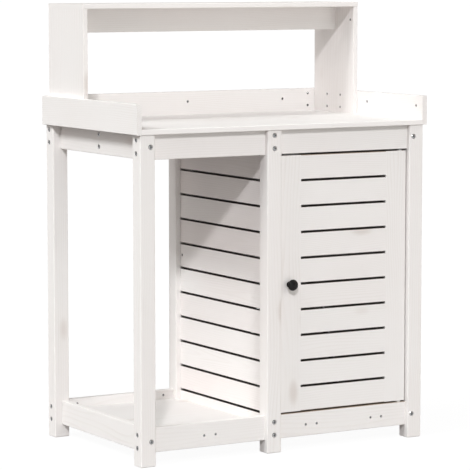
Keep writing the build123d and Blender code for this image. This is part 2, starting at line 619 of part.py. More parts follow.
def make_knob():
    """A round knob with a domed head, held by a machine screw from behind the stile."""
    length = DOOR_Y[0] - KNOB_FRONT_Y
    cap_start = length * KNOB_CAP_START
    profile = [
        (0, 0),
        (KNOB_FOOT_RADIUS, 0),
        (KNOB_FOOT_RADIUS, KNOB_FOOT_HEIGHT),
        (KNOB_NECK_RADIUS, KNOB_NECK_START),
        (KNOB_NECK_RADIUS, length * KNOB_NECK_END),
        (KNOB_HEAD_RADIUS - KNOB_RIM_BEVEL, length * KNOB_RIM_START),
        (KNOB_HEAD_RADIUS, length * KNOB_RIM_END),
        (KNOB_CAP_RADIUS, cap_start),
    ]
    # The cap is part of a ball whose centre is on the knob's axis.
    centre = (length**2 - KNOB_CAP_RADIUS**2 - cap_start**2) / (2 * (length - cap_start))
    ball_radius = length - centre
    half_angle = atan2(KNOB_CAP_RADIUS, cap_start - centre) / 2
    crown = (ball_radius * sin(half_angle), centre + ball_radius * cos(half_angle))
    dome = ThreePointArc(profile[-1], crown, (0, length))
    outline = Polyline(*profile) + dome + Line((0, length), profile[0])
    body = revolve(Plane.XZ * make_face(outline), Axis.Z)
    seat = Plane(origin=(KNOB_X, DOOR_Y[0], KNOB_Z), z_dir=(0, -1, 0))
    body = body.moved(seat.location)

    behind = Vector(KNOB_X, DOOR_Y[1], KNOB_Z)
    forward = Vector(0, -1, 0)
    shank_length = DOOR_THICK + KNOB_SCREW_IN_KNOB
    shank = rod(behind, forward, shank_length, KNOB_SCREW_RADIUS)
    pan_start = behind - forward * KNOB_SCREW_PAN_HEIGHT
    pan = rod(pan_start, forward, KNOB_SCREW_PAN_HEIGHT, KNOB_SCREW_PAN_RADIUS)
    hardware = {"door_knob": [body - shank], "door_knob_screw": [shank + pan]}
    return hardware, [shank]


def make_catch_housing():
    """A magnetic catch on the back of the apron, hanging behind the top of the door."""
    half = CATCH_WIDTH / 2
    back = FRONT_RAIL[1]
    x = (CATCH_X - half, CATCH_X + half)
    step_z = APRON_BOTTOM + CATCH_STEP
    upper = block(x, (back, back + CATCH_DEPTH), (step_z, APRON_BOTTOM + CATCH_ABOVE))
    lower_y = (back + CATCH_SETBACK, back + CATCH_DEPTH)
    lower = block(x, lower_y, (APRON_BOTTOM - CATCH_BELOW, step_z))
    magnet = block(
        (CATCH_X - half + CATCH_WALL, CATCH_X + half - CATCH_WALL),
        (back + CATCH_SETBACK, back + CATCH_DEPTH - CATCH_WALL),
        (APRON_BOTTOM - CATCH_BELOW + CATCH_WALL, APRON_BOTTOM - CATCH_WALL),
    )
    return {"catch_housing": [upper + lower - magnet], "catch_magnet": [magnet]}


def make_strike():
    """The steel plate on the back of the door that the magnet holds."""
    back = DOOR_Y[1]
    plate_top = DOOR_Z[1] - STRIKE_BELOW_DOOR_TOP
    plate = block(
        (CATCH_X - STRIKE_WIDTH / 2, CATCH_X + STRIKE_WIDTH / 2),
        (back, back + STRIKE_THICK),
        (plate_top - STRIKE_HEIGHT, plate_top),
    )
    start = (CATCH_X, back + STRIKE_THICK, plate_top - STRIKE_HEIGHT / 2)
    hole = screw_hole(start, INTO_Y[1], STRIKE_SCREW_LENGTH, STRIKE_SCREW, STRIKE_SCREW[1])
    fixing = screw(start, INTO_Y[1], STRIKE_SCREW_LENGTH, STRIKE_SCREW)
    return {"catch_plate": [plate - hole], "catch_plate_screw": [fixing]}, [hole]


# ---------------------------------------------------------------- assembly
def drilled(solid, holes):
    """A piece with every screw, dowel or bush hole that reaches it cut out."""
    cutters = [hole for hole in holes if near(solid, hole)]
    return solid - cutters if cutters else solid


def make_bench():
    """Every node's name with the list of its separate solids."""
    drilled_pieces = {}
    for make in (
        make_legs, make_rails, make_slat_walls, make_floors, make_tray, make_door, make_catch_housing
    ):
        drilled_pieces.update(make())
    hardware = {}
    holes = []
    for make in (make_fasteners, make_pivots, make_knob, make_strike):
        pieces, cuts = make()
        hardware.update(pieces)
        holes.extend(cuts)
    bench = {}
    for name, solids in drilled_pieces.items():
        bench[name] = [drilled(solid, holes) for solid in solids]
    bench.update(hardware)
    return bench


def write_parts(bench):
    """One STEP file a node, moved so that the knob and the tray's back are equally far from Y = 0."""
    os.makedirs("parts", exist_ok=True)
    to_origin = Location((0, KNOB_PROUD / 2, 0))
    for name, solids in bench.items():
        moved = [one.moved(to_origin) for solid in solids for one in solid.solids()]
        shape = moved[0] if len(moved) == 1 else Compound(children=moved)
        export_step(shape, f"parts/{name}.step")


write_parts(make_bench())
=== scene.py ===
import json
import math
import random

import bmesh
import bpy
from mathutils import Matrix, Vector


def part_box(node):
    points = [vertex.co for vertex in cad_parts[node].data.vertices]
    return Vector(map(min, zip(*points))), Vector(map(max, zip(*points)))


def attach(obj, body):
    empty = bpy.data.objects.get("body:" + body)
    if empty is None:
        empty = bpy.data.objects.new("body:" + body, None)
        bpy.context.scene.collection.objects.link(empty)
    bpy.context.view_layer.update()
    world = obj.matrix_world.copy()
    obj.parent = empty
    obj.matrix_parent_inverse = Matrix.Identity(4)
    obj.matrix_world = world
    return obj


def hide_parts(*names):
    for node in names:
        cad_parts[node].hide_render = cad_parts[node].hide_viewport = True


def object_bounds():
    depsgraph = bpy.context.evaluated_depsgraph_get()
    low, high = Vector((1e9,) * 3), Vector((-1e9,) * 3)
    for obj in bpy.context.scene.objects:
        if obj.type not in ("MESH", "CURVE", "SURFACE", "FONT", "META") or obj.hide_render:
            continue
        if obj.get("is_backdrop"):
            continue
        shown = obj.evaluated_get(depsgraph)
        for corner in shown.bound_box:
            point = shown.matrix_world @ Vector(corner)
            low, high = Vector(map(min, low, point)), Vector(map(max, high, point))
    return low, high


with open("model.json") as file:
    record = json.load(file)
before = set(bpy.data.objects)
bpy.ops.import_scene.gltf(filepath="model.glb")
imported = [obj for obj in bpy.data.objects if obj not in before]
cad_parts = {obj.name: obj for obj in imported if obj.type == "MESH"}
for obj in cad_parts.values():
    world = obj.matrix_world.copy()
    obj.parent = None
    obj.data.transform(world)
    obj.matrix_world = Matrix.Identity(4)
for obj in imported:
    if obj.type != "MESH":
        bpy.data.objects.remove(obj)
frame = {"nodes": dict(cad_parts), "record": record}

# A white painted pine potting bench in a plain studio. Lengths are in metres, angles in degrees.
# Every board keeps its shape from the frame and gets a painted-pine material of its own, whose
# grain runs along the board. The knob and the screws of the frame and boards are made finer here.

CAD_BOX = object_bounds()
RANDOM = random.Random(7)
X, Y, Z = range(3)

# ---------------------------------------------------------------- camera
CAMERA_PLACE = (-3.181, -5.373, 1.1775)
CAMERA_HEADING = 30.62  # clockwise from +Y, seen from above
CAMERA_PITCH = -6.07
CAMERA_LEVEL = 90.0  # a camera's turn about X when it looks level
CAMERA_LENS = 190.9  # mm, on a sensor 36 mm wide
CAMERA_REACH = 200.0
SENSOR_WIDTH = 36.0

# ---------------------------------------------------------------- light
SKY_STRENGTH = 0.06  # the light from above the horizon, all round
GROUND_STRENGTH = 0.13  # the light that comes up from the floor
HORIZON_BLUR = 0.05
SKY_COLOUR = (1.0, 0.90, 0.85)
# Distant lamps: name, the way the light travels, the lamp's width in degrees, strength, colour.
# The key makes the slanting shadow in the open bay, the left lamp the level shadow there.
DISTANT_LAMPS = (
    ("key", (0.65, 1.0, -0.766), 4.0, 1.62, (0.98, 0.98, 1.0)),
    ("left_lamp", (1.0, 0.12, -0.93), 8.0, 0.97, (0.96, 1.0, 1.0)),
    ("left_back_soft", (1.0, -0.4, -0.3), 40.0, 0.62, (1.0, 0.94, 0.90)),
    ("front_soft", (0.0, 1.0, -0.4), 60.0, 0.62, (0.92, 1.0, 1.0)),
    ("front_low_soft", (0.0, 1.0, 0.2), 40.0, 0.56, (1.0, 0.98, 0.95)),
    ("top_left_soft", (0.7, 0.0, -1.0), 50.0, 1.42, (0.95, 1.0, 1.0)),
    ("right_soft", (-1.0, 0.5, -0.5), 60.0, 0.90, (1.0, 0.92, 0.86)),
    ("rear_soft", (0.3, -1.0, -0.4), 60.0, 0.48, (1.0, 0.97, 0.94)),
)

# ---------------------------------------------------------------- floor
FLOOR_WIDTH = 500.0
FLOOR_TONES = ((0.06, 0.06, 0.06), (0.052, 0.052, 0.052))
FLOOR_GLOW = 0.95
FLOOR_CLOUDS = (1.5, 3.0, 0.5)
FLOOR_ROUGHNESS = 0.9
FLOOR_SPECULAR = 0.1

# ---------------------------------------------------------------- painted pine
# A noise is its cells per metre (1 where the place is already counted in cells), its detail and its
# roughness. A range is where an effect starts and where it is full. Cells are counted per metre,
# along the grain and then across it two ways.
PAINT = (0.818, 0.792, 0.776)  # the white stain over clear pine
PINK_PAINT = (0.80, 0.742, 0.725)  # a warmer patch or slat
PAINT_OVER_GRAIN = (0.72, 0.675, 0.64)  # where the late wood shows through
PAINT_OVER_KNOT = (0.60, 0.53, 0.49)
BARE_ARRIS = (0.78, 0.72, 0.66)  # thin paint on a rounded edge
PAINTED_GAP_SHADE = (0.30, 0.23, 0.17)  # painted shade in the gaps round the door, in a bare-wood brown: on the door's top and bottom edges and on the sill
PAINTED_SLOT_SHADE = (0.035, 0.027, 0.022)  # painted shade: a near-black on the faces inside the slots, where little light reaches, and under the apron over the door

# How much of the paint is of the warmer kind, from the coolest to the warmest patches of a board
COOL_BOARD = (0.0, 0.30)
WARM_BOARD = (0.25, 0.85)
WARMTH_NOISE = (2.3, 1.0, 0.5)
WARMTH_RANGE = (0.35, 0.75)
# Boards painted brighter or darker than the others: the tabletop brighter, as painted light on its top,
# and the left bay's floor darker
BOARD_TONES = {"tabletop": 1.05, "left_bay_floor": 0.92}

BOARD_SHIFT = 4.0  # each board is cut from another place of the wood, up to this far away
PITH_SIDE = 0.05  # the heart of the log lies up to this far to the side of the board's origin
PITH_DEPTH = (0.02, 0.07)
RINGS_PER_METRE = 210.0
RING_DRIFT = 0.055
DRIFT_CELLS = (1.3, 9.0, 9.0)
DRIFT_NOISE = (1.0, 2.0, 0.5)
LATE_WOOD_RANGE = (0.45, 0.95)

KNOT_CELLS = (3.4, 8.0, 8.0)
KNOT_FADE = (0.05, 0.15)  # from a cell's middle, as is the next one
HALO_FADE = (0.08, 0.34)
KNOT_SHARE = 0.55
HALO_SHARE = 0.12

FIBRE_CELLS = (14.0, 520.0, 520.0)
FIBRE_NOISE = (1.0, 3.0, 0.6)
FIBRE_SHARE = 0.30
PATCH_NOISE = (5.5, 2.0, 0.5)
PATCH_RANGE = (0.30, 0.75)
GRAIN_SHARE = (0.10, 0.42)  # in the patches with the least and the most grain

ARRIS_RANGE = (0.76, 0.98)  # by the largest part of the normal: a rounded edge, then a flat face
WEAR_NOISE = (26.0, 4.0, 0.6)
WEAR_RANGE = (0.42, 0.72)
WEAR_SHARE = (0.05, 0.45)
SHADE_FACING_RANGE = (0.05, 0.30)  # how far a face has to look up or down to take a painted shade colour

WOOD_ROUGHNESS = 0.42
FIBRE_ROUGHNESS = 0.16
LATE_WOOD_ROUGHNESS = -0.05
WOOD_SPECULAR = 0.35
LATE_WOOD_RELIEF = 0.35  # next to the fibres' relief, as is the next one
KNOT_RELIEF = 0.5
WOOD_BUMP = (0.22, 0.0006)  # strength and height, as in the other bumps

# Slatted walls, where every slat is a board of its own
SLATS_IN_A_WALL = 12
SLAT_LOG_STEP = 1.37  # how far apart along the log two neighbouring slats are cut
SLAT_WANDER = 0.035
SLAT_WANDER_RATE = 2.4
SLAT_WARMTH = 0.2
SLAT_WARMTH_RATE = 4.1
LOWEST_DOOR_SLAT = "door_slat_01"
TOP_DOOR_SLAT = "door_slat_10"

# The grain's axis where it isn't the node's longest one
GRAIN_AXES = {
    "partition_slats": Y, "right_wall_slats": Y, "rear_wall_slats": X,
    "partition_battens": Z, "right_wall_battens": Z, "rear_wall_battens": Z,
    "shelf_left_side": Z, "shelf_right_side": Z,
    "left_bay_floor": X, "cabinet_floor": X,
}

# ---------------------------------------------------------------- plain finishes, two tones each
ZINC_TONES = ((0.46, 0.455, 0.45), (0.26, 0.265, 0.28))
ZINC_MOTTLE = (420.0, 3.0, 0.6)
ZINC_RANGE = (0.35, 0.70)
ZINC_ROUGHNESS = 0.12
ZINC_MOTTLE_ROUGHNESS = 0.15
SCRATCH_CELLS = (300.0, 300.0, 2600.0)
SCRATCH_NOISE = (1.0, 2.0, 0.6)
SCRATCH_BUMP = (0.15, 0.0001)

NYLON_TONES = ((0.82, 0.82, 0.80), (0.76, 0.76, 0.74))
NYLON_ROUGHNESS = 0.45
FERRITE_TONES = ((0.05, 0.05, 0.055), (0.09, 0.09, 0.09))
FERRITE_ROUGHNESS = 0.5
MOULDED_SPECKLE = (900.0, 3.0, 0.6)
MOULDED_SPECKLE_ROUGHNESS = 0.2
MOULDED_CLOUDS = (60.0, 2.0, 0.5)
MOULDED_RANGE = (0.3, 0.7)
MOULDED_BUMP = (0.15, 0.0001)

BEECH_TONES = ((0.62, 0.46, 0.30), (0.48, 0.34, 0.21))
BEECH_FLECKS = (700.0, 3.0, 0.65)
BEECH_RANGE = (0.4, 0.7)
BEECH_ROUGHNESS = 0.55
BEECH_FLECK_ROUGHNESS = 0.2
BEECH_BUMP = (0.2, 0.0002)

LACQUER_TONES = ((0.006, 0.0055, 0.0055), (0.014, 0.013, 0.012))
LACQUER_MARKS = (95.0, 4.0, 0.65)
LACQUER_TONE_RANGE = (0.45, 0.8)
LACQUER_GLOSS_RANGE = (0.40, 0.85)
LACQUER_ROUGHNESS = (0.09, 0.18)
LACQUER_SPECULAR = 0.18
LACQUER_PEEL = (380.0, 2.0, 0.5)
LACQUER_BUMP = (0.05, 0.0003)

# ---------------------------------------------------------------- knob
# Its outline from the foot on: shares of its length, and of its head's radius
KNOB_OUTLINE = (
    (0.0, 0.535), (0.05, 0.535), (0.08, 0.52),  # foot
    (0.12, 0.46), (0.18, 0.40), (0.30, 0.385), (0.42, 0.42),  # neck
    (0.50, 0.56), (0.57, 0.78), (0.62, 0.92),  # back of the head
    (0.67, 0.985), (0.72, 1.0), (0.77, 0.985), (0.82, 0.93),  # rim
)
KNOB_DOME_STEPS = 9
KNOB_SIDES = 48

# ---------------------------------------------------------------- screws
# Head's height, how far its dome stands above the plain head's top, shank's share of the head
FRAME_SCREW_FORM = (0.003, 0.0017, 0.55)
BOARD_SCREW_FORM = (0.002, 0.0010, 0.51)
SCREW_SIDES = 14
DOME_STEPS = 4
RIM_LIFT = 0.5  # of the dome's height
CROSS_LENGTH = 1.25  # of the head's radius, as is the next one
CROSS_WIDTH = 0.36
CROSS_FLOOR = 0.6  # of the head's height
THREAD_PITCH = 1.3  # of the shank's radius, as is the next one
THREAD_DEPTH = 0.3
RINGS_PER_TURN = 4
POINT_START = 0.9  # of the length
POINT_TAPER = 0.8
RIM_SHARE = 0.8  # points further out than this share of the head's radius are on the head
WELD = 0.00001
MILLIMETRES = 1000


# ---------------------------------------------------------------- shader helpers
class Graph:
    """A material's node tree, with short calls for the nodes that the finishes use."""

    def __init__(self, name):
        self.material = bpy.data.materials.new(name)
        self.material.use_nodes = True
        self.tree = self.material.node_tree
        self.shader = self.tree.nodes["Principled BSDF"]
        coordinates = self.node("ShaderNodeTexCoord")
        self.place = coordinates.outputs["Object"]
        self.normal = coordinates.outputs["Normal"]

    def node(self, kind, **settings):
        made = self.tree.nodes.new(kind)
        for key, value in settings.items():
            setattr(made, key, value)
        return made

    def join(self, source, target):
        self.tree.links.new(source, target)

    def feed(self, socket, value):
        """Sets a socket to a number or a colour, or links it to another node's output."""
        if isinstance(value, bpy.types.NodeSocket):
            self.join(value, socket)
        else:
            socket.default_value = value

    def shade(self, **values):
        """Feeds the shader's sockets. An underscore in a name stands for a space."""
        for name, value in values.items():
            self.feed(self.shader.inputs[name.replace("_", " ")], value)

    def maths(self, operation, *values):
        made = self.node("ShaderNodeMath", operation=operation)
        for socket, value in zip(made.inputs, values):
            self.feed(socket, value)
        return made.outputs[0]

    def add(self, first, second):
        return self.maths("ADD", first, second)

    def times(self, first, second):
        return self.maths("MULTIPLY", first, second)

    def clamp(self, value):
        made = self.node("ShaderNodeClamp")
        self.join(value, made.inputs["Value"])
        return made.outputs[0]

    def ramp(self, value, low, high, to_low=0.0, to_high=1.0):
        """Eases a value from one range to another."""
        made = self.node("ShaderNodeMapRange", interpolation_type="SMOOTHSTEP")
        self.feed(made.inputs["Value"], value)
        made.inputs["From Min"].default_value = low
        made.inputs["From Max"].default_value = high
        made.inputs["To Min"].default_value = to_low
        made.inputs["To Max"].default_value = to_high
        return made.outputs["Result"]

    def mix(self, share, first, second):
        made = self.node("ShaderNodeMix", data_type="RGBA")
        self.feed(made.inputs["Factor"], share)
        colour_sockets = [socket for socket in made.inputs if socket.type == "RGBA"]
        for socket, value in zip(colour_sockets, (first, second)):
            self.feed(socket, (*value, 1.0) if isinstance(value, tuple) else value)
        return next(socket for socket in made.outputs if socket.type == "RGBA")

    def noise(self, vector, scale, detail, roughness):
        made = self.node("ShaderNodeTexNoise")
        self.join(vector, made.inputs["Vector"])
        made.inputs["Scale"].default_value = scale
        made.inputs["Detail"].default_value = detail
        made.inputs["Roughness"].default_value = roughness
        return made.outputs["Fac"]

    def stretched(self, vector, cells):
        made = self.node("ShaderNodeMapping")
        self.join(vector, made.inputs["Vector"])
        made.inputs["Scale"].default_value = cells
        return made.outputs[0]

    def join_xyz(self, *values):
        made = self.node("ShaderNodeCombineXYZ")
        for socket, value in zip(made.inputs, values):
            self.feed(socket, value)
        return made.outputs[0]

    def split_xyz(self, vector):
        made = self.node("ShaderNodeSeparateXYZ")
        self.join(vector, made.inputs[0])
        return tuple(made.outputs)

    def bump(self, height, strength, distance):
        made = self.node("ShaderNodeBump")
        self.join(height, made.inputs["Height"])
        made.inputs["Strength"].default_value = strength
        made.inputs["Distance"].default_value = distance
        self.join(made.outputs["Normal"], self.shader.inputs["Normal"])


# ---------------------------------------------------------------- painted pine
def slat_number(graph, height, slats):
    """Which slat of a wall a height is in, counted from 0 at the foot."""
    start, pitch = slats
    return graph.maths("FLOOR", graph.maths("DIVIDE", graph.maths("SUBTRACT", height, start), pitch))


def place_in_slat(graph, height, number, slats):
    """A height measured from the slat's own middle, with a little wander from slat to slat."""
    start, pitch = slats
    middle = graph.maths("MULTIPLY_ADD", number, pitch, start + pitch / 2)
    local = graph.maths("SUBTRACT", height, middle)
    wander = graph.maths("SINE", graph.times(number, SLAT_WANDER_RATE))
    return graph.add(local, graph.times(wander, SLAT_WANDER))


def growth_rings(graph, placed, side, rise, pith):
    """The late wood: 0 to 1 over each ring, counted outwards from a wandering pith."""
    wave = graph.noise(graph.stretched(placed, DRIFT_CELLS), *DRIFT_NOISE)
    drift = graph.times(graph.maths("SUBTRACT", wave, 0.5), RING_DRIFT)
    from_side = graph.add(side, pith[0])
    from_rise = graph.add(rise, pith[1])
    squares = graph.add(graph.times(from_side, from_side), graph.times(from_rise, from_rise))
    radius = graph.add(graph.maths("SQRT", squares), drift)
    rings = graph.maths("FRACT", graph.times(radius, RINGS_PER_METRE))
    return graph.ramp(rings, *LATE_WOOD_RANGE)


def knots_and_halos(graph, placed):
    """A few stretched cells, each with a knot at its heart and a wider halo."""
    cells = graph.node("ShaderNodeTexVoronoi", feature="F1")
    graph.join(graph.stretched(placed, KNOT_CELLS), cells.inputs["Vector"])
    cells.inputs["Scale"].default_value = 1.0
    cells.inputs["Randomness"].default_value = 1.0
    distance = cells.outputs["Distance"]
    return graph.ramp(distance, *KNOT_FADE, 1.0, 0.0), graph.ramp(distance, *HALO_FADE, 1.0, 0.0)


def worn_arrises(graph, placed, normal):
    """How thin the paint is: only where the normal is between two axes, on rounded edges."""
    steepness = [graph.maths("ABSOLUTE", part) for part in normal]
    flatness = graph.maths("MAXIMUM", steepness[X], graph.maths("MAXIMUM", *steepness[Y:]))
    arris = graph.ramp(flatness, *ARRIS_RANGE, 1.0, 0.0)
    wear = graph.ramp(graph.noise(placed, *WEAR_NOISE), *WEAR_RANGE, *WEAR_SHARE)
    return graph.times(arris, wear)


def painted_pine(name, along, slats, shade_pair, warm_share, tone):
    """White-stained pine, with its grain along one axis.

    In a slatted wall each slat differs: slats is the wall's foot and the slats' pitch, or None.
    The painted shade colours of the faces that look up and down come as a pair, each of which may be
    None.
    Tone scales the paint's brightness.
    """
    graph = Graph(name)
    shift = [RANDOM.uniform(-BOARD_SHIFT, BOARD_SHIFT) for _ in range(3)]
    pith = (RANDOM.uniform(-PITH_SIDE, PITH_SIDE), RANDOM.uniform(*PITH_DEPTH))
    position = graph.split_xyz(graph.place)
    run = position[along]
    side, rise = (position[axis] for axis in range(3) if axis != along)
    if slats:
        number = slat_number(graph, position[Z], slats)
        run = graph.add(run, graph.times(number, SLAT_LOG_STEP))
        rise = place_in_slat(graph, position[Z], number, slats)
    placed = graph.join_xyz(*(graph.add(part, by) for part, by in zip((run, side, rise), shift)))

    late_wood = growth_rings(graph, placed, side, rise, pith)
    knot, halo = knots_and_halos(graph, placed)
    fibres = graph.noise(graph.stretched(placed, FIBRE_CELLS), *FIBRE_NOISE)

    # The paint itself, then the grain, the knots, the worn edges, and painted shade on the faces in the
    # slots and the gaps round the door.
    warmth = graph.ramp(graph.noise(placed, *WARMTH_NOISE), *WARMTH_RANGE, *warm_share)
    if slats:
        differ = graph.maths("SINE", graph.maths("MULTIPLY_ADD", number, SLAT_WARMTH_RATE, shift[0]))
        warmth = graph.add(warmth, graph.times(differ, SLAT_WARMTH))
    cool, warm, over_grain = (
        tuple(channel * tone for channel in paint) for paint in (PAINT, PINK_PAINT, PAINT_OVER_GRAIN)
    )
    paint = graph.mix(graph.clamp(warmth), cool, warm)
    patches = graph.noise(placed, *PATCH_NOISE)
    grain = graph.times(late_wood, graph.ramp(patches, *PATCH_RANGE, *GRAIN_SHARE))
    grain = graph.add(grain, graph.times(halo, HALO_SHARE))
    grain = graph.maths("MULTIPLY_ADD", graph.maths("SUBTRACT", fibres, 0.5), FIBRE_SHARE, grain)
    colour = graph.mix(graph.clamp(grain), paint, over_grain)
    colour = graph.mix(graph.times(knot, KNOT_SHARE), colour, PAINT_OVER_KNOT)
    normal = graph.split_xyz(graph.normal)
    colour = graph.mix(worn_arrises(graph, placed, normal), colour, BARE_ARRIS)
    # Painted shade on the faces that look up or down into the slots and the gaps round the door.
    for up_down_shade, sign in zip(shade_pair, (1.0, -1.0)):
        if up_down_shade:
            facing = graph.ramp(graph.times(normal[Z], sign), *SHADE_FACING_RANGE)
            colour = graph.mix(facing, colour, up_down_shade)

    roughness = graph.maths("MULTIPLY_ADD", fibres, FIBRE_ROUGHNESS, WOOD_ROUGHNESS)
    roughness = graph.maths("MULTIPLY_ADD", late_wood, LATE_WOOD_ROUGHNESS, roughness)
    graph.shade(Base_Color=colour, Roughness=roughness, Specular_IOR_Level=WOOD_SPECULAR)
    relief = graph.maths("MULTIPLY_ADD", late_wood, LATE_WOOD_RELIEF, fibres)
    relief = graph.maths("MULTIPLY_ADD", knot, KNOT_RELIEF, relief)
    graph.bump(relief, *WOOD_BUMP)
    return graph.material


# ---------------------------------------------------------------- other finishes
def zinc_plate(name):
    """Zinc-plated steel: finely scratched, with a mottled, faintly blue-grey bloom."""
    graph = Graph(name)
    mottle = graph.noise(graph.place, *ZINC_MOTTLE)
    graph.shade(
        Base_Color=graph.mix(graph.ramp(mottle, *ZINC_RANGE), *ZINC_TONES),
        Metallic=1.0,
        Roughness=graph.maths("MULTIPLY_ADD", mottle, ZINC_MOTTLE_ROUGHNESS, ZINC_ROUGHNESS),
    )
    scratches = graph.noise(graph.stretched(graph.place, SCRATCH_CELLS), *SCRATCH_NOISE)
    graph.bump(scratches, *SCRATCH_BUMP)
    return graph.material


def moulded(name, tones, roughness):
    """Moulded or pressed material: a fine matt texture and slight changes of colour."""
    graph = Graph(name)
    speckle = graph.noise(graph.place, *MOULDED_SPECKLE)
    clouds = graph.noise(graph.place, *MOULDED_CLOUDS)
    graph.shade(
        Base_Color=graph.mix(graph.ramp(clouds, *MOULDED_RANGE), *tones),
        Roughness=graph.maths("MULTIPLY_ADD", speckle, MOULDED_SPECKLE_ROUGHNESS, roughness),
    )
    graph.bump(speckle, *MOULDED_BUMP)
    return graph.material


def bare_beech(name):
    """Beech dowels: pale wood with small dark flecks."""
    graph = Graph(name)
    flecks = graph.noise(graph.place, *BEECH_FLECKS)
    graph.shade(
        Base_Color=graph.mix(graph.ramp(flecks, *BEECH_RANGE), *BEECH_TONES),
        Roughness=graph.maths("MULTIPLY_ADD", flecks, BEECH_FLECK_ROUGHNESS, BEECH_ROUGHNESS),
    )
    graph.bump(flecks, *BEECH_BUMP)
    return graph.material


def black_gloss(name):
    """The knob: black lacquer, glossy, with a light orange-peel and fine handling marks."""
    graph = Graph(name)
    marks = graph.noise(graph.place, *LACQUER_MARKS)
    graph.shade(
        Base_Color=graph.mix(graph.ramp(marks, *LACQUER_TONE_RANGE), *LACQUER_TONES),
        Roughness=graph.ramp(marks, *LACQUER_GLOSS_RANGE, *LACQUER_ROUGHNESS),
        Specular_IOR_Level=LACQUER_SPECULAR,
    )
    graph.bump(graph.noise(graph.place, *LACQUER_PEEL), *LACQUER_BUMP)
    return graph.material


def studio_floor(name):
    """A pale matt floor, which glows so that it is as white as the sky behind it."""
    graph = Graph(name)
    graph.shade(
        Base_Color=graph.mix(graph.noise(graph.place, *FLOOR_CLOUDS), *FLOOR_TONES),
        Roughness=FLOOR_ROUGHNESS,
        Specular_IOR_Level=FLOOR_SPECULAR,
        Emission_Color=(1.0, 1.0, 1.0, 1.0),
        Emission_Strength=FLOOR_GLOW,
    )
    return graph.material


# ---------------------------------------------------------------- dressing the frame's nodes
def longest_axis(node):
    low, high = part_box(node)
    size = high - low
    return max(range(3), key=lambda axis: size[axis])


def slat_rows(node):
    """A slatted wall's foot and the pitch of its slats."""
    low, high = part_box(node)
    return low.z, (high.z - low.z) / SLATS_IN_A_WALL


def slot_and_gap_shades(node):
    """Painted shade for a board's upward and downward faces: near-black in the slots, brown in the gaps
    round the door.
    """
    if node.endswith("_slats"):
        return PAINTED_SLOT_SHADE, PAINTED_SLOT_SHADE
    # Door slats and stiles, the sill and the apron over the door: painted shade where they face the slots
    # and the gaps round the door.
    if node.startswith("door_slat"):
        above = PAINTED_GAP_SHADE if node == TOP_DOOR_SLAT else PAINTED_SLOT_SHADE
        below = PAINTED_GAP_SHADE if node == LOWEST_DOOR_SLAT else PAINTED_SLOT_SHADE
        return above, below
    if node in ("door_hinge_stile", "door_knob_stile"):
        return PAINTED_GAP_SHADE, PAINTED_GAP_SHADE
    if node == "front_right_bottom_rail":
        return PAINTED_GAP_SHADE, None
    if node == "front_right_apron":
        return None, PAINTED_SLOT_SHADE
    return None, None


def board_material(node):
    return painted_pine(
        f"pine_{node}",
        along=GRAIN_AXES.get(node, longest_axis(node)),
        slats=slat_rows(node) if node.endswith("_slats") else None,
        shade_pair=slot_and_gap_shades(node),
        warm_share=WARM_BOARD if "partition" in node else COOL_BOARD,
        tone=BOARD_TONES.get(node, 1.0),
    )


def dress_nodes():
    """Gives every node of the frame its finish, by the record's material slot."""
    plain = {
        "zinc_steel": zinc_plate("zinc_plate"),
        "white_nylon": moulded("white_nylon", NYLON_TONES, NYLON_ROUGHNESS),
        "magnet": moulded("ferrite", FERRITE_TONES, FERRITE_ROUGHNESS),
        "dowel_wood": bare_beech("bare_beech"),
        "black_knob": black_gloss("black_gloss"),
    }
    for part in frame["record"]["subparts"]:
        node = part["node"]
        slot = part["material_slot"]
        materials = frame["nodes"][node].data.materials
        materials.clear()
        materials.append(board_material(node) if slot == "painted_pine" else plain[slot])
    return plain


# ---------------------------------------------------------------- making meshes
def skin(name, shape, loops):
    """Joins loops of points, one after the other, into a closed mesh with a lid at each end."""
    for near, far in zip(loops, loops[1:]):
        for step in range(len(near)):
            after = (step + 1) % len(near)
            shape.faces.new((near[step], near[after], far[after], far[step]))
    shape.faces.new(loops[0])
    shape.faces.new(list(reversed(loops[-1])))
    bmesh.ops.recalc_face_normals(shape, faces=shape.faces)
    mesh = bpy.data.meshes.new(name)
    shape.to_mesh(mesh)
    shape.free()
    return mesh


def put_in_scene(name, mesh):
    made = bpy.data.objects.new(name, mesh)
    bpy.context.scene.collection.objects.link(made)
    return made


# ---------------------------------------------------------------- the knob
def make_knob(material):
    """A turned knob with a dished foot, a slim neck and a softly domed head."""
    low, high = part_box("door_knob")
    centre = Vector(((low.x + high.x) / 2, high.y, (low.z + high.z) / 2))
    length = high.y - low.y
    head = (high.x - low.x) / 2
    outline = [(length * forward, head * radius) for forward, radius in KNOB_OUTLINE]
    dome_start, dome_radius = outline[-1]
    for step in range(1, KNOB_DOME_STEPS):
        angle = math.pi / 2 * step / KNOB_DOME_STEPS
        forward = dome_start + (length - dome_start) * math.sin(angle)
        outline.append((forward, dome_radius * math.cos(angle)))

    shape = bmesh.new()
    loops = []
    for forward, radius in outline:
        angles = [math.tau * step / KNOB_SIDES for step in range(KNOB_SIDES)]
        places = [Vector((radius * math.cos(turn), -forward, radius * math.sin(turn))) for turn in angles]
        loops.append([shape.verts.new(centre + place) for place in places])
    mesh = skin("turned_knob", shape, loops)
    for face in mesh.polygons:
        face.use_smooth = True
    mesh.materials.append(material)
    knob = put_in_scene("turned_knob", mesh)
    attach(knob, "door")
    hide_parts("door_knob")


